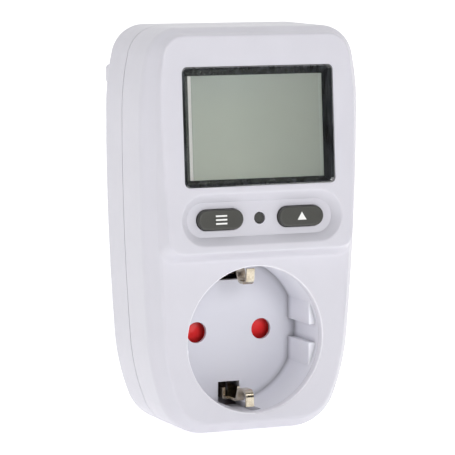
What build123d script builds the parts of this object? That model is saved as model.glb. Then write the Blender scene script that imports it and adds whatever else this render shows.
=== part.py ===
from build123d import *
import os
from math import cos, radians, sin, tan

os.makedirs("parts", exist_ok=True)

# Plug in power meter. Millimetres. The origin is the centre of the plug's engagement face,
# the face that meets the wall socket. +Y points into the wall, +Z up, and +X to the right
# of a person who reads the display.

# ---------------------------------------------------------------- housing
body_depth = 30.0
plug_depth = 17.0
wall = 2.2
front_y = -(body_depth + plug_depth)
seam_depth = 16.5
seam_gap = 0.3
tongue_length = 1.7
tongue_outer_inset = 1.2
rabbet_inset = 1.1
side_apex = (31.3, 60.0)
side_knee = (28.9, 0.0)
side_foot = (20.9, -24.85)
side_head = (27.7, 82.35)
bottom_corner_radius = 12.8
top_corner_radius = 9.1
bevel_depth = 3.8
bevel_inset = 3.1
bevel_rounding = 4.0
face_rounding = 1.2
rear_rounding = 2.8
case_front_depth = seam_depth - seam_gap / 2
case_rear_depth = seam_depth + seam_gap / 2

# ---------------------------------------------------------------- raised display panel
panel_tilt = 4.5
panel_rise = 4.4
panel_bottom_z = 24.0
mound_inset = 2.95
mound_draft = 0.3
mound_bottom_z = 21.6
mound_bottom_draft = 0.545
mound_root = 3.0
mound_rise = 1.0
mound_height = 6.0
mound_corner = 4.0
panel_edge_rounding = 0.8
mound_foot_z = (21.0, 23.0)
mound_foot_rounding = 1.5
pocket_inset = 6.3
pocket_bottom_z = 26.5

# ---------------------------------------------------------------- display stack
display_v = 32.87
lens_width = 43.2
lens_height = 31.1
lens_thickness = 1.0
lens_sink = 0.15
lens_corner = 1.5
lens_clearance = 0.1
lens_seat = 1.2
bezel_depth = 2.9
bezel_mouth = (41.2, 29.7)
bezel_throat = (38.6, 27.1)
bezel_flange = (43.2, 33.2)
cell_middle = (0.25, 32.65)
polariser_size = (36.6, 28.4)
glass_thickness = 1.1
board_front = 10.2
board_thickness = 1.2

# ---------------------------------------------------------------- keys
key_v = 8.7
key_x = 11.6
key_middle_x = 0.3
key_length = 12.9
key_height = 5.3
key_clearance = 0.2
key_top = 0.8
recess_depth = 2.3
recess_floor = (41.8, 9.1)
recess_flare = 2.25
recess_rounding = 0.8
recess_rim_z = (28.0, 38.0)
flare_rim_z = (25.5, 40.5)
recess_backing = 3.9
reset_radius = 1.4
reset_top = 2.7
switch_top = 6.9

# ---------------------------------------------------------------- socket
well_radius = 19.5
well_depth = 17.2
well_wall = 1.8
well_floor = 2.3
well_start = 2.3
guide_flat_x = 17.5
guide_gap = 5.0
guide_start = 4.0
pin_pitch = 19.0
pin_x = pin_pitch / 2
entry_radius = 2.85
slot_width = 6.3
slot_inner_z = 13.8
wall_slot_start = 3.0
entry_land = 1.0
entry_relief_radius = 3.6

# ---------------------------------------------------------------- plug
boss_radius = 18.4
boss_flat_x = 17.0
boss_rib_height = 4.4
boss_wall = 1.8
plug_pin_radius = 2.4
pin_neck_radius = 2.6
plug_pin_length = 19.0
face_thickness = 2.0

# ---------------------------------------------------------------- screws
case_screw_spots = [(23.4, 75.0), (-23.4, 75.0), (19.2, -17.2), (-19.2, -17.2)]
well_screw_spots = [(19.4, 15.9), (-19.4, 15.9), (23.6, -4.0), (-23.6, -4.0)]
board_screw_spots = [(22.8, 4.6), (-22.8, 4.6), (23.6, 40.0), (-23.6, 40.0)]
main_screw_spots = [(23.0, 31.0), (-23.0, 31.0), (23.0, 66.0), (-23.0, 66.0)]
carrier_screw_spots = [(20.6, 0.0), (-20.6, 0.0)]
main_board_front = 24.4
main_board_thickness = 1.6

panel = Plane(
    origin=(0, front_y - panel_rise, panel_bottom_z),
    x_dir=(1, 0, 0),
    z_dir=(0, -cos(radians(panel_tilt)), sin(radians(panel_tilt))),
)


def at_depth(depth):
    """Plane parallel to the lower front face, depth behind it, facing the reader."""
    return Plane.XZ.offset(-(front_y + depth))


def behind_panel(depth):
    """Plane parallel to the raised panel, depth behind its surface, facing the reader."""
    return panel.offset(-depth)


def housing_outline(inset=0.0):
    """Outline of the housing seen from the front, shrunk by inset."""
    with BuildSketch() as shape:
        with BuildLine():
            side = TangentArc([side_apex, side_knee], tangent=(0, -1))
            TangentArc([side_knee, side_foot], tangent=side % 1)
            TangentArc([side_apex, side_head], tangent=(0, 1))
            mirror(about=Plane.YZ)
            Line(side_foot, (-side_foot[0], side_foot[1]))
            Line(side_head, (-side_head[0], side_head[1]))
        make_face()
        fillet(shape.vertices().group_by(Axis.Y)[0], bottom_corner_radius)
        fillet(shape.vertices().group_by(Axis.Y)[-1], top_corner_radius)
        if inset > 0:
            offset(amount=-inset, kind=Kind.TANGENT, mode=Mode.REPLACE)
    return shape.sketch


def panel_outline(inset, floor_z, corner):
    """Upper part of the raised housing outline, cut straight at floor_z with rounded corners."""
    with BuildSketch() as shape:
        add(housing_outline(inset).moved(Location((0, mound_rise, 0))))
        with Locations((0, floor_z + 50)):
            Rectangle(100, 100, mode=Mode.INTERSECT)
        fillet(shape.vertices().group_by(Axis.Y)[0], corner)
    return shape.sketch


def slab(outline, front, back, mode=Mode.ADD):
    """Adds or cuts an outline from depth front to depth back."""
    with BuildSketch(at_depth(back)) as shape:
        add(outline)
    extrude(shape.sketch, amount=back - front, mode=mode)


def block(x, z, width, height, front, back, mode=Mode.ADD):
    """Rectangular block centred on (x, z)."""
    with BuildSketch(at_depth(back)) as shape:
        with Locations((x, z)):
            Rectangle(width, height)
    extrude(shape.sketch, amount=back - front, mode=mode)


def rods(spots, radius, front, back, mode=Mode.ADD):
    """Round rods or holes along Y at the given (x, z) spots."""
    with BuildSketch(at_depth(back)) as shape:
        with Locations(*spots):
            Circle(radius)
    extrude(shape.sketch, amount=back - front, mode=mode)


def panel_block(x, v, width, height, front, back, corner=0.0, mode=Mode.ADD):
    """Rectangular block in the panel's own frame."""
    with BuildSketch(behind_panel(back)) as shape:
        with Locations((x, v)):
            if corner > 0:
                RectangleRounded(width, height, corner)
            else:
                Rectangle(width, height)
    extrude(shape.sketch, amount=back - front, mode=mode)


def panel_slot(x, v, length, height, front, back, mode=Mode.ADD):
    """Block with two round ends in the panel's own frame."""
    with BuildSketch(behind_panel(back)) as shape:
        with Locations((x, v)):
            SlotOverall(length, height)
    extrude(shape.sketch, amount=back - front, mode=mode)


def panel_rods(spots, radius, front, back, mode=Mode.ADD):
    """Round rods or holes square to the panel."""
    with BuildSketch(behind_panel(back)) as shape:
        with Locations(*spots):
            Circle(radius)
    extrude(shape.sketch, amount=back - front, mode=mode)


def bent_strip(points, bend_radius, thickness, width, x=0.0):
    """Sheet strip bent along (depth, z) points, centred on x."""
    with BuildSketch(Plane.YZ.offset(x)) as shape:
        with BuildLine() as path:
            FilletPolyline(*[(front_y + depth, z) for depth, z in points], radius=bend_radius)
        trace(path.edges(), line_width=thickness)
    extrude(shape.sketch, amount=width / 2, both=True)


def soft_path(corners):
    """Straight runs joined by arcs as large as the runs allow."""
    bends = []
    for before, corner, after in zip(corners, corners[1:], corners[2:]):
        turn = radians((corner - before).get_angle(after - corner))
        shorter_run = min((corner - before).length, (after - corner).length)
        bends.append(0.45 * shorter_run / tan(turn / 2))
    with BuildLine() as path:
        FilletPolyline(*corners, radius=bends)
    return path.line


def wire_run(points, radius):
    """Round wire that runs smoothly past (x, depth, z) points."""
    path = soft_path([Vector(x, front_y + depth, z) for x, depth, z in points])
    with BuildSketch(Plane(origin=path @ 0, z_dir=path % 0)) as section:
        Circle(radius)
    sweep(section.sketch, path=path)


def edges_at_depth(builder, depth):
    """Edges whose middle lies at one depth."""
    return builder.edges().filter_by_position(Axis.Y, front_y + depth - 0.02, front_y + depth + 0.02)


def panel_edges(builder, depth, low_z, high_z):
    """Edges at one depth behind the panel surface whose middle is between two heights."""
    edges = builder.edges().filter_by_position(Axis.Z, low_z, high_z)
    return edges.filter_by(lambda edge: abs(panel.to_local_coords(edge @ 0.5).Z + depth) < 0.01)


def save(builder, name):
    """Labels a finished piece and writes its STEP file."""
    builder.part.label = name
    export_step(builder.part, f"parts/{name}.step")


# ================================================================ front case
with BuildPart() as display_mound:
    with BuildSketch(at_depth(mound_root)):
        add(panel_outline(
            mound_inset - mound_root * mound_draft,
            mound_bottom_z - mound_root * mound_bottom_draft,
            mound_corner,
        ))
    with BuildSketch(at_depth(-mound_height)):
        add(panel_outline(
            mound_inset + mound_height * mound_draft,
            mound_bottom_z + mound_height * mound_bottom_draft,
            mound_corner,
        ))
    loft(ruled=True)
    split(bisect_by=panel, keep=Keep.BOTTOM)
    fillet(display_mound.faces().filter_by(panel).edges(), panel_edge_rounding)

with BuildPart() as display_pocket:
    with BuildSketch(at_depth(well_start + 1)):
        add(panel_outline(pocket_inset, pocket_bottom_z, mound_corner))
    extrude(amount=well_start + 1 + mound_height)
    split(bisect_by=behind_panel(wall), keep=Keep.BOTTOM)

with BuildPart() as front_case:
    slab(housing_outline(), 0, case_front_depth)
    front_face = front_case.faces().sort_by(Axis.Y)[0]
    chamfer(front_face.edges(), bevel_inset, bevel_depth, reference=front_face)
    fillet(edges_at_depth(front_case, bevel_depth), bevel_rounding)
    fillet(front_case.faces().sort_by(Axis.Y)[0].edges(), face_rounding)
    add(display_mound.part)
    fillet(edges_at_depth(front_case, 0).filter_by_position(Axis.Z, *mound_foot_z), mound_foot_rounding)
    slab(housing_outline(wall), bevel_depth + 1.3, case_front_depth, mode=Mode.SUBTRACT)
    slab(housing_outline(wall + 3), wall, bevel_depth + 1.4, mode=Mode.SUBTRACT)
    add(display_pocket.part, mode=Mode.SUBTRACT)
    rods([(0, 0)], well_radius + well_wall + 0.15, wall, bevel_depth + 1.4, mode=Mode.SUBTRACT)
    # thicker backing for the key recess, and the screw posts
    panel_slot(key_middle_x, key_v, 44.6, 12.6, wall - 0.2, recess_backing)
    panel_rods(board_screw_spots[:2], 2.1, wall - 0.2, board_front)
    panel_rods(board_screw_spots[2:], 1.9, wall - 0.2, board_front)
    rods(case_screw_spots[:2], 2.7, bevel_depth + 0.5, case_front_depth)
    rods(case_screw_spots[2:], 2.7, wall - 0.2, case_front_depth)
    rods(well_screw_spots, 2.2, wall - 0.2, 9.0)
    # rabbet that takes the tongue of the rear case
    with BuildSketch(at_depth(case_front_depth)):
        add(housing_outline(rabbet_inset))
        add(housing_outline(wall + 0.1), mode=Mode.SUBTRACT)
    extrude(amount=tongue_length, mode=Mode.SUBTRACT)
    # socket opening, display window, key recess and holes
    rods([(0, 0)], well_radius, -1, wall + 0.05, mode=Mode.SUBTRACT)
    panel_block(0, display_v, lens_width + 2 * lens_clearance, lens_height + 2 * lens_clearance,
                -1, wall + 0.5, corner=lens_corner, mode=Mode.SUBTRACT)
    panel_slot(key_middle_x, key_v, *recess_floor, -1, recess_depth, mode=Mode.SUBTRACT)
    chamfer(panel_edges(front_case, 0, *recess_rim_z), recess_flare)
    fillet(panel_edges(front_case, 0, *flare_rim_z), recess_rounding)
    for x in (key_middle_x - key_x, key_middle_x + key_x):
        panel_slot(x, key_v, key_length + 2 * key_clearance, key_height + 2 * key_clearance,
                   recess_depth - 0.5, recess_backing + 0.5, mode=Mode.SUBTRACT)
    panel_rods([(key_middle_x, key_v)], reset_radius + key_clearance,
               recess_depth - 0.5, recess_backing + 0.5, mode=Mode.SUBTRACT)
    panel_rods(board_screw_spots, 0.9, 5.0, board_front, mode=Mode.SUBTRACT)
    rods(case_screw_spots, 1.45, 8.0, case_front_depth, mode=Mode.SUBTRACT)
    rods(well_screw_spots, 1.05, 4.0, 9.0, mode=Mode.SUBTRACT)
    rim = edges_at_depth(front_case, 0).filter_by(GeomType.CIRCLE)
    fillet(rim.filter_by(lambda edge: abs(edge.radius - well_radius) < 0.01), 0.4)
save(front_case, "front_case")


# ================================================================ rear case with the plug body
boss_rib_x = 17.6
boss_flat_height = 18.0
earth_groove_width = 7.2
earth_groove_z = 16.3
pad_spots = [(27.1, 69.0), (-27.1, 69.0)]
label_width = 34.0
label_height = 26.0
label_z = 50.0
screw_seat_depth = 21.5
rear_inner = body_depth - wall
face_depth = body_depth + plug_depth


def boss_outline(shrink=0.0):
    """Round plug body with flats and a rib on each side."""
    with BuildSketch() as shape:
        Circle(boss_radius - shrink)
        flat_width = boss_radius - boss_flat_x + shrink + 1
        with Locations(
            (boss_flat_x - shrink + flat_width / 2, 0),
            (-boss_flat_x + shrink - flat_width / 2, 0),
        ):
            Rectangle(flat_width, boss_flat_height, mode=Mode.SUBTRACT)
    return shape.sketch


with BuildPart() as rear_case:
    slab(housing_outline(), case_rear_depth, body_depth)
    fillet(rear_case.faces().sort_by(Axis.Y)[-1].edges(), rear_rounding)
    slab(housing_outline(wall), case_rear_depth - 1, rear_inner, mode=Mode.SUBTRACT)
    # tongue that enters the front case
    with BuildSketch(at_depth(case_rear_depth + 2)) as tongue:
        add(housing_outline(tongue_outer_inset))
        add(housing_outline(wall), mode=Mode.SUBTRACT)
    extrude(amount=2 + seam_gap + tongue_length - 0.2)
    # posts for the case screws, the main board and the contact carrier
    with BuildSketch(at_depth(body_depth - 0.5)):
        with Locations(*case_screw_spots):
            Circle(3.8)
        add(housing_outline(1.0), mode=Mode.INTERSECT)
    extrude(amount=body_depth - 0.5 - case_rear_depth)
    rods(main_screw_spots, 2.8, main_board_front + main_board_thickness, rear_inner + 0.2)
    rods(carrier_screw_spots, 2.4, 24.5, rear_inner + 0.2)
    # plug body
    slab(boss_outline(), rear_inner + 0.5, face_depth)
    fillet(rear_case.faces().sort_by(Axis.Y)[-1].edges(), 0.9)
    for side in (-1, 1):
        block(side * (boss_rib_x - 1.2), 0, 2.4, boss_rib_height, body_depth - 0.5, face_depth - 3)
    slab(boss_outline(boss_wall), rear_inner - 1, face_depth - face_thickness, mode=Mode.SUBTRACT)
    rods([(pin_x, 0), (-pin_x, 0)], pin_neck_radius + 0.03, rear_inner, face_depth + 1, mode=Mode.SUBTRACT)
    for side in (-1, 1):
        block(0, side * (earth_groove_z + 3), earth_groove_width, 6, body_depth - 0.01, face_depth - 1.2,
              mode=Mode.SUBTRACT)
        block(0, side * (earth_groove_z + 1.3), earth_groove_width, 2.6, rear_inner - 1, body_depth + 1,
              mode=Mode.SUBTRACT)
    # spacer pads and label recess on the rear wall
    with BuildSketch(at_depth(body_depth + 2.0)):
        with Locations(*pad_spots):
            RectangleRounded(5.0, 5.2, 1.2)
    extrude(amount=3.0)
    block(0, label_z, label_width + 0.4, label_height + 0.4, body_depth - 0.25, body_depth + 1,
          mode=Mode.SUBTRACT)
    # screw wells and pilot holes
    rods(case_screw_spots, 2.6, screw_seat_depth, body_depth + 1, mode=Mode.SUBTRACT)
    rods(case_screw_spots, 1.6, case_rear_depth - 1, body_depth, mode=Mode.SUBTRACT)
    rods(main_screw_spots, 1.05, main_board_front, rear_inner + 1.2, mode=Mode.SUBTRACT)
    rods(carrier_screw_spots, 1.05, 24.0, rear_inner + 1.2, mode=Mode.SUBTRACT)
save(rear_case, "rear_case")

with BuildPart() as rating_label:
    with BuildSketch(at_depth(body_depth - 0.1)):
        with Locations((0, label_z)):
            RectangleRounded(label_width, label_height, 1.0)
    extrude(amount=0.15)
save(rating_label, "rating_label")


# ================================================================ socket well
with BuildPart() as socket_well:
    rods([(0, 0)], well_radius + well_wall, well_start, well_depth + well_floor)
    # ears for its screws
    for x, z in well_screw_spots:
        with BuildSketch(at_depth(11.2)):
            with Locations((x, z)):
                Circle(2.1)
            with BuildLine():
                reach = Vector(x, z).normalized()
                across = Vector(-reach.Y, reach.X) * 2.1
                root = reach * (well_radius + 0.6)
                tip = Vector(x, z)
                Polyline(root + across, tip + across, tip - across, root - across, close=True)
            make_face()
        extrude(amount=2.1)
    rods([(0, 0)], well_radius, well_start - 1, well_depth, mode=Mode.SUBTRACT)
    rods(well_screw_spots, 1.25, 8.0, 12.0, mode=Mode.SUBTRACT)
    # flat guide blocks left and right, each pair split by the guide gap
    with BuildSketch(at_depth(well_depth + 0.2)):
        Circle(well_radius + 0.2)
        Rectangle(2 * guide_flat_x, 50, mode=Mode.SUBTRACT)
        Rectangle(50, guide_gap, mode=Mode.SUBTRACT)
    extrude(amount=well_depth + 0.2 - guide_start)
    guide_fronts = socket_well.faces().filter_by_position(
        Axis.Y, front_y + guide_start - 0.01, front_y + guide_start + 0.01
    )
    fillet(guide_fronts.edges().filter_by(Axis.Z), 0.35)
    # pin entries and earth clip slots
    rods([(pin_x, 0), (-pin_x, 0)], entry_radius, well_depth - 1, well_depth + well_floor + 1,
         mode=Mode.SUBTRACT)
    rods([(pin_x, 0), (-pin_x, 0)], entry_relief_radius, well_depth + entry_land, well_depth + well_floor + 1,
         mode=Mode.SUBTRACT)
    slot_outer_z = well_radius + well_wall - 0.7
    for side in (-1, 1):
        block(0, side * (slot_inner_z + slot_outer_z) / 2, slot_width, slot_outer_z - slot_inner_z,
              wall_slot_start, well_depth + well_floor + 1, mode=Mode.SUBTRACT)
    # rails and stops for the shutter on the back of the floor
    back = well_depth + well_floor
    for side in (-1, 1):
        block(side * 14.0, 3.0, 1.2, 14.0, back - 0.1, back + 3.2)
        block(side * 7.5, -4.7, 8.0, 1.4, back - 0.1, back + 3.2)
    block(0, 12.6, 5.0, 1.4, back - 0.1, back + 3.2)
save(socket_well, "socket_well")


# ================================================================ shutter and its spring
shutter_front = back + 0.3
shutter_back = shutter_front + 2.8
shutter_half_height = 3.6
spring_x_room = 3.2
spring_foot_z = -2.0
spring_head_z = 11.85

with BuildPart() as shutter:
    block(0, 0, 25.8, 2 * shutter_half_height, shutter_front, shutter_back)
    # slanted faces that turn the push of two plug pins into an upward slide
    for side in (-1, 1):
        with BuildSketch(Plane.YZ.offset(side * pin_x)) as ramp:
            with BuildLine():
                Polyline(
                    (front_y + shutter_front - 0.1, 3.1),
                    (front_y + shutter_front - 0.1, -shutter_half_height - 0.1),
                    (front_y + shutter_front + 1.5, -shutter_half_height - 0.1),
                    close=True,
                )
            make_face()
        extrude(ramp.sketch, amount=3.3, both=True, mode=Mode.SUBTRACT)
    block(0, 2.0, spring_x_room, 8.0, shutter_front - 1, shutter_back + 1, mode=Mode.SUBTRACT)
save(shutter, "shutter")

with BuildPart() as shutter_spring:
    coil_origin = (0, front_y + (shutter_front + shutter_back) / 2, spring_foot_z + 0.22)
    with BuildLine(Plane(origin=coil_origin)) as coil:
        Helix(pitch=1.7, height=spring_head_z - spring_foot_z - 0.44, radius=1.0)
    with BuildSketch(Plane(origin=coil.line @ 0, z_dir=coil.line % 0)):
        Circle(0.18)
    sweep(path=coil.line)
save(shutter_spring, "shutter_spring")

# ================================================================ contacts
carrier_front = shutter_back + 0.3
carrier_back = carrier_front + 1.6
tower_size = 8.6
tower_end = 36.9
sleeve_outer = 3.2
sleeve_inner = 2.45
sleeve_end = 36.4
link_thickness = 0.8
link_front = 37.6
link_back = 40.95
pin_root = link_back + link_thickness / 2

with BuildPart() as contact_carrier:
    with BuildSketch(at_depth(carrier_back)):
        RectangleRounded(45.6, 16.0, 3.0)
    extrude(amount=carrier_back - carrier_front)
    with BuildSketch(at_depth(tower_end)):
        with Locations((pin_x, 0), (-pin_x, 0)):
            RectangleRounded(tower_size, tower_size, 1.0)
    extrude(amount=tower_end - carrier_back + 0.1)
    rods([(pin_x, 0), (-pin_x, 0)], sleeve_outer + 0.15, carrier_back, tower_end + 1, mode=Mode.SUBTRACT)
    rods([(pin_x, 0), (-pin_x, 0)], entry_radius, carrier_front - 1, tower_end, mode=Mode.SUBTRACT)
    rods(carrier_screw_spots, 1.25, carrier_front - 1, tower_end, mode=Mode.SUBTRACT)
save(contact_carrier, "contact_carrier")


def socket_sleeve(x):
    """Split brass sleeve, closed at the back, that grips a plug pin."""
    with BuildPart() as sleeve:
        rods([(x, 0)], sleeve_outer, carrier_back + 0.2, sleeve_end + 0.75)
        rods([(x, 0)], sleeve_inner, carrier_back, sleeve_end, mode=Mode.SUBTRACT)
        block(x, 0, 0.8, 10, carrier_back, sleeve_end - 3.4, mode=Mode.SUBTRACT)
        block(x, 0, 10, 0.8, carrier_back, sleeve_end - 3.4, mode=Mode.SUBTRACT)
    return sleeve


def plug_pin(x):
    """Plug pin with a rounded tip, and a wider neck and collar that hold it in the case."""
    with BuildPart() as pin:
        rods([(x, 0)], plug_pin_radius, face_depth - 1, face_depth + plug_pin_length)
        fillet(pin.edges().sort_by(Axis.Y)[-1], 1.6)
        rods([(x, 0)], pin_neck_radius, pin_root, face_depth)
        rods([(x, 0)], 3.8, 43.2, face_depth - face_thickness - 0.05)
    return pin


live_socket_contact = socket_sleeve(-pin_x)
save(live_socket_contact, "live_socket_contact")
neutral_socket_contact = socket_sleeve(pin_x)
save(neutral_socket_contact, "neutral_socket_contact")
live_pin = plug_pin(-pin_x)
save(live_pin, "live_pin")
neutral_pin = plug_pin(pin_x)
save(neutral_pin, "neutral_pin")

with BuildPart() as neutral_link:
    bent_strip([(link_front, -3.0), (link_front, 4.9), (link_back, 4.9), (link_back, -3.0)],
               0.8, link_thickness, 5.0, x=pin_x)
save(neutral_link, "neutral_link")

with BuildPart() as shunt:
    bent_strip([(link_front, -3.0), (link_front, 8.4), (link_back, 8.4), (link_back, -3.0)],
               0.8, link_thickness, 5.0, x=-pin_x)
save(shunt, "shunt")

# ================================================================ earth path
strap_thickness = 0.7
front_strap_depth = 25.55
rear_strap_depth = 26.3
clip_root = [(front_strap_depth, 17.7), (14.5, 17.7)]
clip_nose = [(front_strap_depth, 17.7), (10.0, 17.7), (8.8, 14.45), (3.9, 14.45), (3.65, 18.5)]
clip_bends = [0.9, 1.2, 1.6, 1.7]
plug_arm = [(30.0, 17.4), (34.0, 17.75), (42.0, 17.75), (45.0, 17.1)]

with BuildPart() as socket_earth_strap:
    for side in (-1, 1):
        root = [(front_strap_depth, 0.0)] + [(depth, side * z) for depth, z in clip_root]
        bent_strip(root, 0.9, strap_thickness, 5.0)
        arm = [(front_strap_depth, 0.0)] + [(depth, side * z) for depth, z in clip_nose]
        bent_strip(arm, clip_bends, strap_thickness, 2.3)
        # upturned edges that stiffen the wide part of the strap
        for x in (-2.15, 2.15):
            block(x, side * 16.3, strap_thickness, 2.4, 15.5, 22.0)
    rods([(0, 0)], 1.25, front_strap_depth - 1, front_strap_depth + 1, mode=Mode.SUBTRACT)
save(socket_earth_strap, "socket_earth_strap")

with BuildPart() as plug_earth_strap:
    upper = [(rear_strap_depth, 17.4)] + plug_arm
    lower = [(depth, -z) for depth, z in upper]
    bent_strip(lower[::-1] + upper, 0.6, strap_thickness, 6.0)
    rods([(0, 0)], 1.25, rear_strap_depth - 1, rear_strap_depth + 1, mode=Mode.SUBTRACT)
save(plug_earth_strap, "plug_earth_strap")

with BuildPart() as earth_rivet:
    rods([(0, 0)], 1.2, 24.75, 27.2)
    rods([(0, 0)], 2.0, 24.6, front_strap_depth - strap_thickness / 2 - 0.02)
    rods([(0, 0)], 2.0, rear_strap_depth + strap_thickness / 2 + 0.02, 27.3)
save(earth_rivet, "earth_rivet")

# ================================================================ wires
with BuildPart() as neutral_wire:
    wire_run([(9.5, 39.3, 5.9), (9.6, 36.5, 9.4), (9.9, 26.8, 11.2), (10.0, 24.9, 17.0),
              (10.0, 23.3, 27.0), (10.0, 23.65, 31.0)], 0.65)
save(neutral_wire, "neutral_wire")

with BuildPart() as supply_wire:
    wire_run([(-10.8, 39.6, 9.5), (-11.0, 26.6, 10.9), (-11.4, 24.9, 17.0),
              (-11.5, 23.3, 27.0), (-11.5, 23.65, 31.0)], 0.65)
save(supply_wire, "supply_wire")

with BuildPart() as sense_wire:
    wire_run([(-8.4, 38.7, 9.5), (-8.0, 26.6, 12.0), (-8.0, 24.9, 17.5),
              (-8.0, 23.3, 27.0), (-8.0, 23.65, 31.0)], 0.65)
save(sense_wire, "sense_wire")

# ================================================================ main board
parts_foot = main_board_front - 0.05

with BuildPart() as main_board:
    block(0, 48.5, 52.0, 42.0, main_board_front, main_board_front + main_board_thickness)
    rods(main_screw_spots, 1.15, main_board_front - 1, main_board_front + 3, mode=Mode.SUBTRACT)
save(main_board, "main_board")

with BuildPart() as film_capacitor:
    block(-13.0, 58.0, 18.0, 9.0, 13.6, parts_foot)
    fillet(film_capacitor.edges(), 0.6)
save(film_capacitor, "film_capacitor")

with BuildPart() as smoothing_capacitor:
    rods([(2.5, 60.0)], 4.0, 13.2, parts_foot)
    fillet(smoothing_capacitor.edges().sort_by(Axis.Y)[0], 0.6)
    rods([(2.5, 60.0)], 3.0, 13.0, 13.35, mode=Mode.SUBTRACT)
save(smoothing_capacitor, "smoothing_capacitor")

with BuildPart() as varistor:
    with BuildSketch(Plane.YZ.offset(11.0)):
        with Locations((front_y + 18.6, 60.0)):
            Circle(4.6)
    extrude(amount=3.4)
    fillet(varistor.edges().filter_by(GeomType.CIRCLE), 1.2)
    rods([(12.0, 62.5), (13.4, 57.5)], 0.35, 21.0, parts_foot)
save(varistor, "varistor")

with BuildPart() as fusible_resistor:
    with BuildSketch(Plane.YZ.offset(-21.0)):
        with Locations((front_y + 22.3, 47.0)):
            Circle(1.9)
    extrude(amount=10.0)
    fillet(fusible_resistor.edges().filter_by(GeomType.CIRCLE), 0.6)
    rods([(-19.6, 47.0), (-12.4, 47.0)], 0.35, 22.0, parts_foot)
save(fusible_resistor, "fusible_resistor")

with BuildPart() as bridge_rectifier:
    block(-3.0, 47.5, 8.0, 6.4, 21.8, 23.9)
    for x in (-5.5, -0.5):
        for z in (43.9, 51.1):
            block(x, z, 1.0, 1.6, 23.2, parts_foot)
save(bridge_rectifier, "bridge_rectifier")

with BuildPart() as metering_chip:
    block(5.0, 37.5, 10.2, 4.6, 22.7, 24.15)
    for step in range(8):
        for side in (-1, 1):
            block(5.0 + (step - 3.5) * 1.27, 37.5 + side * 2.7, 0.45, 1.4, 23.6, parts_foot)
save(metering_chip, "metering_chip")

with BuildPart() as crystal:
    with BuildSketch(at_depth(parts_foot)):
        with Locations((-7.5, 38.0)):
            SlotOverall(10.4, 4.2)
    extrude(amount=3.5)
    fillet(crystal.faces().sort_by(Axis.Y)[0].edges(), 0.4)
save(crystal, "crystal")

with BuildPart() as backup_cells:
    cell_length = 4.2
    for step in range(3):
        with BuildSketch(Plane.YZ.offset(9.6 + step * (cell_length + 0.3))) as cell:
            with Locations((front_y + parts_foot - 5.8, 47.5)):
                Circle(5.7)
        extrude(cell.sketch, amount=cell_length)
        with BuildSketch(Plane.YZ.offset(9.4 + step * (cell_length + 0.3))) as spacer:
            with Locations((front_y + parts_foot - 5.8, 47.5)):
                Circle(5.2)
        extrude(spacer.sketch, amount=cell_length + 0.4)
save(backup_cells, "backup_cells")

# ================================================================ control board
board_back = board_front + board_thickness
board_mid_v = 24.9
key_spots = [(key_middle_x + x, key_v) for x in (-key_x, 0, key_x)]
plunger_top = 6.02
plunger_radius = 1.65

with BuildPart() as control_board:
    panel_block(0, board_mid_v, 50.0, 46.8, board_front, board_back, corner=1.0)
    panel_rods(board_screw_spots, 1.0, board_front - 1, board_back + 1, mode=Mode.SUBTRACT)
save(control_board, "control_board")

with BuildPart() as display_driver:
    panel_rods([(0, 31.0)], 6.0, board_back + 0.01, board_back + 1.2)
    fillet(display_driver.edges().sort_by(Axis.Y)[-1], 0.9)
save(display_driver, "display_driver")

with BuildPart() as key_switches:
    for x, v in key_spots:
        panel_block(x, v, 6.0, 6.0, switch_top, board_front - 0.02, corner=0.5)
    panel_rods(key_spots, plunger_radius + 0.2, switch_top - 1, 9.0, mode=Mode.SUBTRACT)
save(key_switches, "key_switches")


def switch_plunger(x):
    """Round plunger of one key switch."""
    with BuildPart() as plunger:
        panel_rods([(x, key_v)], plunger_radius, plunger_top, 8.4)
    return plunger


def long_button(x):
    """Keycap with two round ends, a retaining flange and a stem."""
    with BuildPart() as button:
        panel_slot(x, key_v, key_length, key_height, key_top, 4.3)
        top_face = button.faces().filter_by(panel).sort_by(Axis.Y)[0]
        fillet(top_face.edges(), 0.55)
        panel_slot(x, key_v, key_length + 1.7, key_height + 1.7, 4.25, 5.2)
        panel_rods([(x, key_v)], 1.6, 5.1, 5.97)
    return button


mode_button = long_button(key_middle_x - key_x)
save(mode_button, "mode_button")
up_button = long_button(key_middle_x + key_x)
save(up_button, "up_button")
mode_plunger = switch_plunger(key_middle_x - key_x)
save(mode_plunger, "mode_plunger")
up_plunger = switch_plunger(key_middle_x + key_x)
save(up_plunger, "up_plunger")
reset_plunger = switch_plunger(key_middle_x)
save(reset_plunger, "reset_plunger")

with BuildPart() as reset_button:
    panel_rods([(key_middle_x, key_v)], reset_radius, reset_top, 4.3)
    top_face = reset_button.faces().filter_by(panel).sort_by(Axis.Y)[0]
    fillet(top_face.edges(), 0.3)
    panel_rods([(key_middle_x, key_v)], 2.4, 4.25, 5.2)
    panel_rods([(key_middle_x, key_v)], 1.2, 5.1, 5.97)
save(reset_button, "reset_button")

with BuildPart() as ribbon_cable:
    sag = soft_path([Vector(0, front_y + depth, z) for depth, z in
                     ((7.65, 29.0), (12.5, 28.3), (17.5, 31.8), (24.3, 31.3))])
    with BuildSketch(Plane.YZ) as band:
        with BuildLine():
            add(Plane.YZ.to_local_coords(sag))
        trace(line_width=0.5)
    extrude(amount=6.0, both=True)
save(ribbon_cable, "ribbon_cable")

# ================================================================ display stack
glass_front = bezel_depth + 0.22
glass_split = glass_front + glass_thickness
glass_back = glass_split + glass_thickness
glass_width = 42.0
glass_top_v = 48.4
front_glass_height = 32.5
rear_glass_height = 29.4
holder_front = glass_back + 0.23

with BuildPart() as display_lens:
    panel_block(0, display_v, lens_width, lens_height, lens_sink, lens_sink + lens_thickness,
                corner=lens_corner)
    chamfer(display_lens.faces().filter_by(panel).sort_by(Axis.Y)[0].edges(), 0.3)
save(display_lens, "display_lens")

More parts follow.
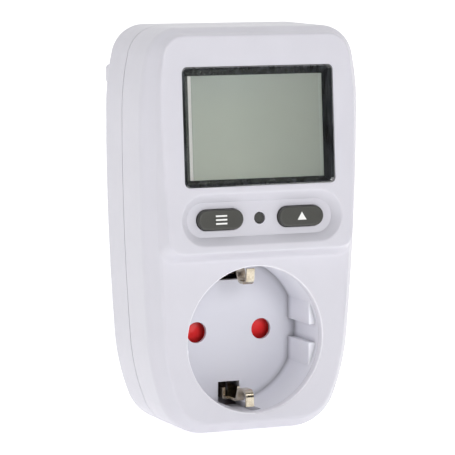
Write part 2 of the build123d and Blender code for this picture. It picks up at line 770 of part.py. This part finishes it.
with BuildPart() as display_bezel:
    panel_block(0, display_v, lens_width, lens_height, lens_seat, wall + 0.2, corner=lens_corner)
    panel_block(0, display_v, *bezel_flange, wall + 0.05, bezel_depth, corner=1.8)
    # opening whose four sides slope in towards the display
    with BuildSketch(behind_panel(lens_seat)):
        with Locations((0, display_v)):
            Rectangle(*bezel_mouth)
    with BuildSketch(behind_panel(bezel_depth)):
        with Locations(cell_middle):
            Rectangle(*bezel_throat)
    loft(ruled=True, mode=Mode.SUBTRACT)
save(display_bezel, "display_bezel")

with BuildPart() as front_polariser:
    panel_block(*cell_middle, *polariser_size, bezel_depth + 0.02, bezel_depth + 0.2)
save(front_polariser, "front_polariser")

with BuildPart() as lcd_glass:
    for height, front in ((front_glass_height, glass_front), (rear_glass_height, glass_split)):
        panel_block(0, glass_top_v - height / 2, glass_width, height, front, front + glass_thickness)
save(lcd_glass, "lcd_glass")

with BuildPart() as rear_reflector:
    panel_block(0, display_v, 40.0, 28.4, glass_back + 0.02, glass_back + 0.2)
save(rear_reflector, "rear_reflector")

with BuildPart() as lcd_holder:
    panel_block(0, 32.15, 42.4, 32.9, holder_front, board_front - 0.02, corner=0.8)
    panel_block(0, 33.6, 36.0, 25.0, holder_front - 1, board_front + 1, mode=Mode.SUBTRACT)
    panel_block(0, 17.4, 38.6, 2.2, holder_front - 1, board_front + 1, mode=Mode.SUBTRACT)
save(lcd_holder, "lcd_holder")

with BuildPart() as contact_strip:
    panel_block(0, 17.4, 38.0, 1.8, glass_split + 0.02, board_front - 0.02)
save(contact_strip, "contact_strip")


# ================================================================ screws
def screws_from_front(spots, head_radius, shank_radius, head_top, seat, tip):
    """Pan head screws along Y, heads towards the reader, with a cross recess."""
    with BuildPart() as group:
        rods(spots, head_radius, head_top, seat)
        fillet(edges_at_depth(group, head_top), 0.4)
        rods(spots, shank_radius, seat - 0.1, tip)
        for x, z in spots:
            block(x, z, head_radius * 1.2, 0.5, head_top - 1, head_top + 0.7, mode=Mode.SUBTRACT)
            block(x, z, 0.5, head_radius * 1.2, head_top - 1, head_top + 0.7, mode=Mode.SUBTRACT)
    return group


def screws_from_rear(spots, head_radius, shank_radius, head_top, seat, tip):
    """The same screws with their heads towards the wall."""
    with BuildPart() as group:
        rods(spots, head_radius, seat, head_top)
        fillet(edges_at_depth(group, head_top), 0.4)
        rods(spots, shank_radius, tip, seat + 0.1)
        for x, z in spots:
            block(x, z, head_radius * 1.2, 0.5, head_top - 0.7, head_top + 1, mode=Mode.SUBTRACT)
            block(x, z, 0.5, head_radius * 1.2, head_top - 0.7, head_top + 1, mode=Mode.SUBTRACT)
    return group


case_screws = screws_from_rear(case_screw_spots, 2.4, 1.4, screw_seat_depth + 1.9, screw_seat_depth, 9.0)
save(case_screws, "case_screws")
well_screws = screws_from_rear(well_screw_spots, 1.9, 1.0, 12.6, 11.2, 5.0)
save(well_screws, "well_screws")
carrier_screws = screws_from_front(carrier_screw_spots, 1.9, 1.0, carrier_front - 1.4, carrier_front, 28.4)
save(carrier_screws, "carrier_screws")
main_board_screws = screws_from_front(
    main_screw_spots, 1.9, 1.0, main_board_front - 1.4, main_board_front, 28.4
)
save(main_board_screws, "main_board_screws")

with BuildPart() as control_board_screws:
    panel_rods(board_screw_spots, 1.7, board_back, board_back + 1.2)
    panel_rods(board_screw_spots, 0.85, 6.0, board_back + 0.1)
    for x, v in board_screw_spots:
        panel_block(x, v, 2.0, 0.45, board_back + 0.6, board_back + 2, mode=Mode.SUBTRACT)
        panel_block(x, v, 0.45, 2.0, board_back + 0.6, board_back + 2, mode=Mode.SUBTRACT)
save(control_board_screws, "control_board_screws")
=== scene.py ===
import bmesh
import bpy
from math import cos, radians, sin
from mathutils import Matrix, Vector


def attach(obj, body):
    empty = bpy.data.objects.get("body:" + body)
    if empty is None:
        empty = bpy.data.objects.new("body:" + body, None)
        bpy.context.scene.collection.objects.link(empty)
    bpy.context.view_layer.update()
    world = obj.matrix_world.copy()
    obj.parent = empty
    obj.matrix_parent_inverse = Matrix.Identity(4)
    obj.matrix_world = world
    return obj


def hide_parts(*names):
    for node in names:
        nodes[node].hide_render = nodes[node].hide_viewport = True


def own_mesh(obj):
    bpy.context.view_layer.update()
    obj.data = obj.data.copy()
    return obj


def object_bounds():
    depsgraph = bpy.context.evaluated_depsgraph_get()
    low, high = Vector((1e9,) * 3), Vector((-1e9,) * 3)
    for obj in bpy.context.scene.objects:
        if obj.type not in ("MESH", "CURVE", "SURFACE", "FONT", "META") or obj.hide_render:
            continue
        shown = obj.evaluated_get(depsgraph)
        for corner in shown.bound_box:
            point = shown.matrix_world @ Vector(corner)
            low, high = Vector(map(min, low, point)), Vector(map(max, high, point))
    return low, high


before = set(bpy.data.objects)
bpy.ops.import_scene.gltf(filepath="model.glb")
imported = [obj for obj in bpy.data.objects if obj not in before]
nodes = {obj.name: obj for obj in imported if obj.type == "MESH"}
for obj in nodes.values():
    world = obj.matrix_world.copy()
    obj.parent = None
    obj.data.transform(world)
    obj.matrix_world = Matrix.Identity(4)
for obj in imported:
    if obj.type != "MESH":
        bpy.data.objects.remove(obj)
cad_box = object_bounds()

MM = 0.001

# ---------------------------------------------------------------- the raised panel and its keys, in mm
TILT = radians(4.5)
FRONT_Y = -47.0
PANEL_RISE = 4.4
PANEL_BOTTOM = 24.0
DISPLAY_V = 32.87
DISPLAY_REACH = 14
KEY_X = 11.6
KEY_MIDDLE_X = 0.3
KEY_V = 8.7
KEY_TOP = 0.8
PRINT_ABOVE = 0.03
PRINT_BELOW = 0.02
MENU_BAR_LENGTH = 3.2
MENU_BAR_HEIGHT = 0.42
RAISE_TRIANGLE = [(-1.3, -0.95), (1.3, -0.95), (0, 1.15)]

# ---------------------------------------------------------------- where painted highlight and painted shade change, in metres
RIM_RADIUS = (0.0196, 0.0199)
RIM_DEPTH = (-0.042, -0.040)
WELL_FLOOR = (-0.0325, -0.0298)
FILM_RIGHT = (-0.006, 0.020)
CELL_HALF_WIDTH = 0.02

# ---------------------------------------------------------------- studio
AIM = Vector((0, -0.04, 0.03))
WORLD_FRONT = 0.065
WORLD_BACK = 1.0
WORLD_TOP = 1.1
FLOOR_SIZE = 6.0
FLOOR_BACK = 0.6
FLOOR_GAP = 0.0002

# ---------------------------------------------------------------- camera
CAMERA_AZIMUTH = radians(-24.37)
CAMERA_ELEVATION = radians(6.69)
CAMERA_ROLL = radians(0.19)
CAMERA_DISTANCE = 0.7393
CAMERA_TARGET = Vector((-8.29, -47.0, 30.17)) * MM
CAMERA_LENS = 223.9
CAMERA_SENSOR = 36.0

# ---------------------------------------------------------------- sockets of the colour mix node
MIX_A, MIX_B, MIX_RESULT = 6, 7, 2


def panel_point(x, v, depth=0.0):
    """World point for a spot on the raised panel: x, height along it and depth behind it, in mm."""
    y = FRONT_Y - PANEL_RISE + v * sin(TILT) + depth * cos(TILT)
    z = PANEL_BOTTOM + v * cos(TILT) - depth * sin(TILT)
    return Vector((x, y, z)) * MM


def scaled(colour, factor):
    """Colour made darker or lighter."""
    return tuple(min(1.0, c * factor) for c in colour)


# ================================================================ material builder
class Shader:
    """A small builder for one node material."""

    def __init__(self, name):
        self.material = bpy.data.materials.new(name)
        self.material.use_nodes = True
        self.tree = self.material.node_tree
        self.tree.nodes.clear()
        self.out = self.add("ShaderNodeOutputMaterial")
        self.bsdf = self.add("ShaderNodeBsdfPrincipled")
        self.link(self.bsdf.outputs[0], self.out.inputs["Surface"])
        self.place = self.add("ShaderNodeTexCoord").outputs["Object"]

    def add(self, kind, **settings):
        """A new node with its settings."""
        node = self.tree.nodes.new(kind)
        for key, value in settings.items():
            setattr(node, key, value)
        return node

    def link(self, source, target):
        """One wire from a node's output to another's input."""
        self.tree.links.new(source, target)

    def set(self, **sockets):
        """Constant values, straight on the surface's own sockets."""
        for key, value in sockets.items():
            self.bsdf.inputs[key.replace("_", " ")].default_value = value

    def use(self, socket, value):
        """Varying values for one of the surface's sockets."""
        self.link(value, self.bsdf.inputs[socket])

    def axis(self, letter):
        """Position along X, Y or Z in metres."""
        split = self.add("ShaderNodeSeparateXYZ")
        self.link(self.place, split.inputs[0])
        return split.outputs[letter]

    def noise(self, scale, detail=3.0, rough=0.55, stretch=(1, 1, 1)):
        """Noise whose scale counts features per metre."""
        mapping = self.add("ShaderNodeMapping")
        mapping.inputs["Scale"].default_value = stretch
        self.link(self.place, mapping.inputs["Vector"])
        noise = self.add("ShaderNodeTexNoise")
        noise.inputs["Scale"].default_value = scale
        noise.inputs["Detail"].default_value = detail
        noise.inputs["Roughness"].default_value = rough
        self.link(mapping.outputs[0], noise.inputs["Vector"])
        return noise.outputs["Fac"]

    def remap(self, value, low, high, start=0.3, end=0.7):
        """Spreads start..end over low..high."""
        node = self.add("ShaderNodeMapRange")
        node.inputs["From Min"].default_value = start
        node.inputs["From Max"].default_value = end
        node.inputs["To Min"].default_value = low
        node.inputs["To Max"].default_value = high
        self.link(value, node.inputs["Value"])
        return node.outputs["Result"]

    def ramp(self, value, stops):
        """Colour that follows a value through (position, colour) stops."""
        node = self.add("ShaderNodeValToRGB")
        elements = node.color_ramp.elements
        while len(elements) < len(stops):
            elements.new(0.5)
        for element, (position, colour) in zip(elements, stops):
            element.position = position
            element.color = (*colour, 1)
        self.link(value, node.inputs["Fac"])
        return node.outputs["Color"]

    def math(self, operation, first, second):
        """Two values joined by one arithmetic step."""
        node = self.add("ShaderNodeMath", operation=operation)
        self.link(first, node.inputs[0])
        self.link(second, node.inputs[1])
        return node.outputs[0]

    def outlet_radius(self):
        """Distance from the outlet's middle line, which is the Y axis, in metres."""
        flat = self.add("ShaderNodeVectorMath", operation="MULTIPLY")
        self.link(self.place, flat.inputs[0])
        flat.inputs[1].default_value = (1, 0, 1)
        length = self.add("ShaderNodeVectorMath", operation="LENGTH")
        self.link(flat.outputs["Vector"], length.inputs[0])
        return length.outputs["Value"]

    def mix(self, surface, other, share):
        """A colour with a share of another colour mixed in."""
        node = self.add("ShaderNodeMix", data_type="RGBA")
        self.link(share, node.inputs["Factor"])
        self.link(surface, node.inputs[MIX_A])
        node.inputs[MIX_B].default_value = (*other, 1)
        return node.outputs[MIX_RESULT]

    def shade_corners(self, surface, dark, reach, open_share, hidden_share):
        """Mixes in a dark tone: open_share of it in the open, hidden_share where tucked away."""
        occlusion = self.add("ShaderNodeAmbientOcclusion", samples=8)
        occlusion.inputs["Distance"].default_value = reach
        share = self.remap(occlusion.outputs["AO"], hidden_share, open_share, 0.0, 1.0)
        return self.mix(surface, dark, share)

    def bump(self, height, strength, distance, onto=None):
        """Surface relief; distance is the height of the noise in metres."""
        node = self.add("ShaderNodeBump")
        node.inputs["Strength"].default_value = strength
        node.inputs["Distance"].default_value = distance
        self.link(height, node.inputs["Height"])
        if onto is not None:
            self.link(onto, node.inputs["Normal"])
        self.link(node.outputs[0], self.bsdf.inputs["Normal"])
        return node.outputs[0]


def paint(material, *targets):
    """Gives CAD nodes, named by their node name, or whole pieces their material."""
    for target in targets:
        piece = nodes[target] if isinstance(target, str) else target
        piece.data.materials.clear()
        piece.data.materials.append(material)


def moulded(name, colour, rough, variation=0.015, grain=2600.0, wave=True, scatter=0.0, specular=0.5,
            reach=0.0, hidden=0.5, patch=None, where=None):
    """Injection moulded plastic: faint mottling, spark-eroded grain and very slight sink marks.

    With reach, painted shade darkens corners tucked nearer than that by the share hidden. With patch,
    that painted highlight or shade colour takes over by the share that where(shader) gives.
    """
    shader = Shader(name)
    shader.set(Specular_IOR_Level=specular, Subsurface_Weight=scatter, Subsurface_Scale=1.0)
    shader.set(Subsurface_Radius=(0.0012, 0.001, 0.001))
    mottling = [(0.3, scaled(colour, 1 - variation)), (0.7, scaled(colour, 1 + variation))]
    surface = shader.ramp(shader.noise(90.0, 4.0), mottling)
    if patch:
        surface = shader.mix(surface, patch, where(shader))
    # painted shade in tucked corners
    if reach:
        dark = scaled(colour, 0.9 * (1 - hidden))
        surface = shader.shade_corners(surface, dark, reach, 0.05, hidden)
    shader.use("Base Color", surface)
    shader.use("Roughness", shader.remap(shader.noise(420.0, 3.0), rough - 0.05, rough + 0.05))
    relief = shader.bump(shader.noise(grain, 2.0), 0.25, 0.000012)
    if wave:
        shader.bump(shader.noise(38.0, 1.0), 0.35, 0.00006, onto=relief)
    return shader.material


def metal(name, colour, tarnish, rough, streak=(1, 1, 1), amount=0.5, reach=0.0):
    """Plated or rolled sheet metal with tarnish and rolling marks."""
    shader = Shader(name)
    shader.set(Metallic=1.0)
    patches = shader.noise(520.0, 5.0, 0.6)
    surface = shader.ramp(patches, [(0.5 - amount / 3, colour), (0.5 + amount / 2, tarnish)])
    # with reach, painted shade darkens metal tucked into corners
    if reach:
        surface = shader.shade_corners(surface, scaled(tarnish, 0.4), reach, 0.15, 0.75)
    shader.use("Base Color", surface)
    lines = shader.noise(900.0, 3.0, 0.6, streak)
    shader.use("Roughness", shader.remap(lines, rough - 0.08, rough + 0.12))
    shader.bump(lines, 0.2, 0.00002)
    return shader.material


def solder_mask(name, colour):
    """Circuit board: glossy mask over faint copper tracks."""
    shader = Shader(name)
    brick = shader.add("ShaderNodeTexBrick")
    brick.inputs["Scale"].default_value = 160.0
    brick.inputs["Mortar Size"].default_value = 0.05
    brick.inputs["Color1"].default_value = (*colour, 1)
    brick.inputs["Color2"].default_value = (*scaled(colour, 0.86), 1)
    brick.inputs["Mortar"].default_value = (*scaled(colour, 1.9), 1)
    shader.link(shader.place, brick.inputs["Vector"])
    shader.use("Base Color", brick.outputs["Color"])
    shader.use("Roughness", shader.remap(shader.noise(700.0), 0.25, 0.4))
    shader.bump(brick.outputs["Fac"], 0.2, 0.00003)
    return shader.material


# ================================================================ plastics
def rim_highlight_share(shader):
    """Share of the painted highlight on the thin lip of the outlet's opening."""
    near = shader.remap(shader.outlet_radius(), 1.0, 0.0, *RIM_RADIUS)
    front = shader.remap(shader.axis("Y"), 1.0, 0.0, *RIM_DEPTH)
    return shader.math("MULTIPLY", near, front)


def floor_shade_share(shader):
    """Share of the painted shade that greys the outlet's floor."""
    return shader.remap(shader.axis("Y"), 0.0, 1.0, *WELL_FLOOR)


# the patch is a painted highlight on the outlet's lip
housing_white = moulded("housing_white", (0.60, 0.592, 0.645), 0.34, scatter=0.06,
                        patch=(0.84, 0.83, 0.88), where=rim_highlight_share)
paint(housing_white, "front_case", "rear_case")
# the walls' light base is painted light, the floor patch is painted shade, and reach adds painted shade
# in corners
well_white = moulded("well_white", (0.93, 0.93, 1.0), 0.34, scatter=0.06, reach=0.0016, hidden=0.8,
                     patch=(0.675, 0.675, 0.735), where=floor_shade_share)
paint(well_white, "socket_well")
paint(moulded("inner_natural", (0.62, 0.62, 0.59), 0.5), "contact_carrier", "lcd_holder")

key_grey = moulded("key_grey", (0.050, 0.050, 0.044), 0.36, variation=0.05, grain=3800.0)
paint(key_grey, "mode_button", "up_button")
paint(moulded("reset_grey", (0.042, 0.042, 0.038), 0.4, variation=0.05), "reset_button")
# reach darkens the shutter with painted shade near the pin entries
shutter_red = moulded("shutter_red", (1.0, 0.036, 0.038), 0.22, variation=0.05, specular=0.6,
                      reach=0.0024, hidden=0.9)
paint(shutter_red, "shutter")
symbol_white = moulded("symbol_white", (0.80, 0.80, 0.78), 0.5, variation=0.03, wave=False)

paint(moulded("part_black", (0.02, 0.02, 0.022), 0.45, variation=0.1),
      "key_switches", "mode_plunger", "up_plunger", "reset_plunger",
      "display_driver", "metering_chip", "bridge_rectifier")
paint(moulded("wire_blue", (0.012, 0.05, 0.32), 0.35, variation=0.1), "neutral_wire", "varistor")
paint(moulded("wire_brown", (0.10, 0.035, 0.015), 0.35, variation=0.1), "supply_wire")
paint(moulded("wire_white", (0.72, 0.72, 0.70), 0.35, variation=0.03), "sense_wire", "ribbon_cable")
paint(moulded("capacitor_yellow", (0.68, 0.42, 0.02), 0.3, variation=0.05), "film_capacitor")
paint(moulded("sleeve_dark", (0.012, 0.016, 0.04), 0.3, variation=0.1), "smoothing_capacitor")
paint(moulded("sleeve_green", (0.02, 0.18, 0.06), 0.3, variation=0.1), "backup_cells")
paint(moulded("resistor_cement", (0.12, 0.24, 0.20), 0.6, variation=0.1), "fusible_resistor")
paint(moulded("strip_rubber", (0.55, 0.34, 0.33), 0.6, variation=0.08), "contact_strip")
paint(solder_mask("board_green", (0.012, 0.10, 0.035)), "main_board", "control_board")

# ================================================================ metals
# reach gives the clips painted shade where they are tucked away
clip_nickel = metal("clip_nickel", (0.76, 0.71, 0.60), (0.42, 0.31, 0.18), 0.16,
                    streak=(1, 0.05, 0.05), amount=0.6, reach=0.003)
paint(clip_nickel, "socket_earth_strap", "plug_earth_strap")
pin_nickel = metal("pin_nickel", (0.68, 0.66, 0.62), (0.52, 0.48, 0.40), 0.18, streak=(1, 0.04, 1))
paint(pin_nickel, "live_pin", "neutral_pin")
brass = metal("brass", (0.72, 0.50, 0.20), (0.48, 0.30, 0.12), 0.28, streak=(0.05, 1, 1))
paint(brass, "live_socket_contact", "neutral_socket_contact", "neutral_link", "earth_rivet")
shunt_alloy = metal("shunt_alloy", (0.52, 0.32, 0.22), (0.34, 0.20, 0.14), 0.35, streak=(0.05, 1, 1))
paint(shunt_alloy, "shunt")
paint(metal("zinc_steel", (0.55, 0.56, 0.58), (0.42, 0.42, 0.44), 0.3),
      "case_screws", "well_screws", "carrier_screws", "main_board_screws", "control_board_screws",
      "crystal")
paint(metal("spring_wire", (0.5, 0.5, 0.52), (0.38, 0.38, 0.40), 0.25), "shutter_spring")


# ================================================================ display and label
def display_film():
    """Grey-green film of a blank display: darker and a little bluer towards the top, painted shade
    towards the right.
    """
    shader = Shader("display_film")
    shader.set(Specular_IOR_Level=0.4)
    low = panel_point(0, DISPLAY_V - DISPLAY_REACH).z
    high = panel_point(0, DISPLAY_V + DISPLAY_REACH).z
    height = shader.remap(shader.axis("Z"), 0.0, 1.0, low, high)
    uneven = shader.remap(shader.noise(45.0, 2.0), -0.03, 0.03)
    tones = [
        (0.0, (0.565, 0.61, 0.525)),
        (0.6, (0.555, 0.605, 0.525)),
        (1.0, (0.52, 0.575, 0.52)),
    ]
    surface = shader.ramp(shader.math("ADD", height, uneven), tones)
    # painted shade darkens the film towards the right
    right = shader.remap(shader.axis("X"), 0.0, 1.0, *FILM_RIGHT)
    shader.use("Base Color", shader.mix(surface, (0.41, 0.445, 0.385), right))
    shader.use("Roughness", shader.remap(shader.noise(900.0), 0.36, 0.42))
    return shader.material


def cell_glass():
    """Cell glass: cream on the left, where the reflector shows through bare glass; painted shade makes
    the right edge as dark as the film.
    """
    shader = Shader("cell_glass")
    across = shader.remap(shader.axis("X"), 0.0, 1.0, -CELL_HALF_WIDTH, CELL_HALF_WIDTH)
    uneven = shader.remap(shader.noise(60.0, 2.0), -0.04, 0.04)
    # the fade to the film's tone on the right is painted shade
    tones = [(0.1, (1.0, 1.0, 0.96)), (0.6, (0.50, 0.55, 0.49))]
    shader.use("Base Color", shader.ramp(shader.math("ADD", across, uneven), tones))
    shader.use("Roughness", shader.remap(shader.noise(600.0), 0.1, 0.22))
    return shader.material


def bezel_black():
    """Glossy black frame with fine drawn streaks."""
    shader = Shader("bezel_black")
    shader.set(Specular_IOR_Level=0.6)
    streaks = shader.noise(700.0, 3.0, 0.6, (1, 1, 0.12))
    tones = [(0.36, (0.010, 0.011, 0.013)), (0.70, (0.052, 0.057, 0.064))]
    shader.use("Base Color", shader.ramp(streaks, tones))
    shader.use("Roughness", shader.remap(streaks, 0.06, 0.16))
    shader.bump(streaks, 0.12, 0.00002)
    return shader.material


def clear_window():
    """Clear polished window with faint wipe marks."""
    shader = Shader("clear_window")
    shader.set(Transmission_Weight=1.0, IOR=1.49)
    tones = [(0.3, (0.985, 0.99, 0.99)), (0.7, (1.0, 1.0, 1.0))]
    shader.use("Base Color", shader.ramp(shader.noise(80.0), tones))
    shader.use("Roughness", shader.remap(shader.noise(260.0, 4.0, 0.6, (1, 6, 1)), 0.0, 0.015))
    return shader.material


def blank_label():
    """Blank silvery label film."""
    shader = Shader("blank_label")
    shader.set(Metallic=0.35)
    tones = [(0.3, (0.56, 0.57, 0.60)), (0.7, (0.62, 0.63, 0.66))]
    shader.use("Base Color", shader.ramp(shader.noise(300.0, 4.0), tones))
    shader.use("Roughness", shader.remap(shader.noise(900.0, 3.0, 0.6, (0.1, 1, 1)), 0.32, 0.45))
    shader.bump(shader.noise(1200.0), 0.15, 0.00001)
    return shader.material


paint(display_film(), "front_polariser", "rear_reflector")
paint(cell_glass(), "lcd_glass")
paint(bezel_black(), "display_bezel")
paint(clear_window(), "display_lens")
paint(blank_label(), "rating_label")


# ================================================================ key symbols
def symbol(name, x, outlines, body):
    """Thin printed symbol on a key's top face; outlines are in mm around the key's middle."""
    work = bmesh.new()
    for outline in outlines:
        front, back = (
            [work.verts.new(panel_point(x + u, KEY_V + w, depth)) for u, w in outline]
            for depth in (KEY_TOP - PRINT_ABOVE, KEY_TOP + PRINT_BELOW)
        )
        work.faces.new(front)
        work.faces.new(back[::-1])
        for i in range(len(outline)):
            j = (i + 1) % len(outline)
            work.faces.new((front[j], front[i], back[i], back[j]))
    bmesh.ops.recalc_face_normals(work, faces=work.faces)
    mesh = bpy.data.meshes.new(name)
    work.to_mesh(mesh)
    work.free()
    piece = bpy.data.objects.new(name, mesh)
    bpy.context.scene.collection.objects.link(piece)
    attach(piece, body)
    paint(symbol_white, piece)


def bar(middle):
    """One bar of the menu symbol, at a height above the key's middle."""
    end = MENU_BAR_LENGTH / 2
    low, high = middle - MENU_BAR_HEIGHT / 2, middle + MENU_BAR_HEIGHT / 2
    return [(-end, low), (end, low), (end, high), (-end, high)]


symbol("menu_symbol", KEY_MIDDLE_X - KEY_X, [bar(-1), bar(0), bar(1)], "mode_key")
symbol("raise_symbol", KEY_MIDDLE_X + KEY_X, [RAISE_TRIANGLE], "up_key")


# ================================================================ shutter spring
def return_spring():
    """The shutter's coil spring as a piece with its own mesh, fixed to the housing in place of the CAD
    spring.
    """
    piece = bpy.data.objects.new("return_spring", nodes["shutter_spring"].data.copy())
    bpy.context.scene.collection.objects.link(piece)
    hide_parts("shutter_spring")
    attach(piece, "housing")
    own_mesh(piece)


return_spring()


# ================================================================ studio
def studio_floor():
    """Plain white floor that lifts its own brightness a little."""
    place = (0, FLOOR_BACK, cad_box[0][2] - FLOOR_GAP)
    bpy.ops.mesh.primitive_plane_add(size=FLOOR_SIZE, location=place)
    floor = bpy.context.object
    floor.name = "studio_floor"
    shader = Shader("floor_white")
    shader.set(Roughness=0.9, Specular_IOR_Level=0.1, Emission_Strength=0.6)
    tone = shader.ramp(shader.noise(3.0), [(0.3, (0.90, 0.90, 0.90)), (0.7, (0.92, 0.92, 0.92))])
    shader.use("Base Color", tone)
    shader.use("Emission Color", tone)
    paint(shader.material, floor)


def studio_world():
    """White tent: bright behind and above the object, dark where the photographer stands."""
    world = bpy.data.worlds.new("studio")
    bpy.context.scene.world = world
    world.use_nodes = True
    tree = world.node_tree
    direction = tree.nodes.new("ShaderNodeTexCoord")
    split = tree.nodes.new("ShaderNodeSeparateXYZ")
    tree.links.new(direction.outputs["Generated"], split.inputs[0])
    product = tree.nodes.new("ShaderNodeMath")
    product.operation = "MULTIPLY"
    fades = (("Y", -0.7, 0.2, WORLD_FRONT, WORLD_BACK), ("Z", 0.22, 0.85, 1.0, WORLD_TOP))
    for slot, (axis, start, end, low, high) in enumerate(fades):
        fade = tree.nodes.new("ShaderNodeMapRange")
        fade.interpolation_type = "SMOOTHSTEP"
        fade.inputs["From Min"].default_value = start
        fade.inputs["From Max"].default_value = end
        fade.inputs["To Min"].default_value = low
        fade.inputs["To Max"].default_value = high
        tree.links.new(split.outputs[axis], fade.inputs["Value"])
        tree.links.new(fade.outputs[0], product.inputs[slot])
    background = tree.nodes["Background"]
    background.inputs["Color"].default_value = (1, 1, 1, 1)
    tree.links.new(product.outputs[0], background.inputs["Strength"])


def softbox(name, place, size, power):
    """Rectangular lamp aimed at the object."""
    data = bpy.data.lights.new(name, "AREA")
    data.shape = "RECTANGLE"
    data.size, data.size_y = size
    data.energy = power
    lamp = bpy.data.objects.new(name, data)
    bpy.context.scene.collection.objects.link(lamp)
    lamp.location = place
    lamp.rotation_euler = (AIM - Vector(place)).to_track_quat("-Z", "Y").to_euler()


def camera():
    """Camera at the photograph's viewing angle."""
    data = bpy.data.cameras.new("camera")
    data.lens = CAMERA_LENS
    data.sensor_width = CAMERA_SENSOR
    holder = bpy.data.objects.new("camera", data)
    bpy.context.scene.collection.objects.link(holder)
    back = Vector((
        sin(CAMERA_AZIMUTH) * cos(CAMERA_ELEVATION),
        -cos(CAMERA_AZIMUTH) * cos(CAMERA_ELEVATION),
        sin(CAMERA_ELEVATION),
    ))
    holder.location = CAMERA_TARGET + back * CAMERA_DISTANCE
    roll = Matrix.Rotation(CAMERA_ROLL, 4, "Z").to_quaternion()
    holder.rotation_euler = ((-back).to_track_quat("-Z", "Y") @ roll).to_euler()
    bpy.context.scene.camera = holder


studio_floor()
studio_world()
softbox("front_softbox", (-0.02, -0.97, 0.38), (0.45, 0.35), 3.7)
softbox("left_softbox", (-0.58, -0.84, 0.32), (0.3, 0.3), 0.17)
softbox("right_softbox", (0.62, -0.80, 0.60), (0.4, 0.4), 1.27)
softbox("side_strip", (-0.55, -0.14, 0.27), (0.16, 0.5), 0.05)
camera()
bpy.context.scene.view_settings.view_transform = "Standard"
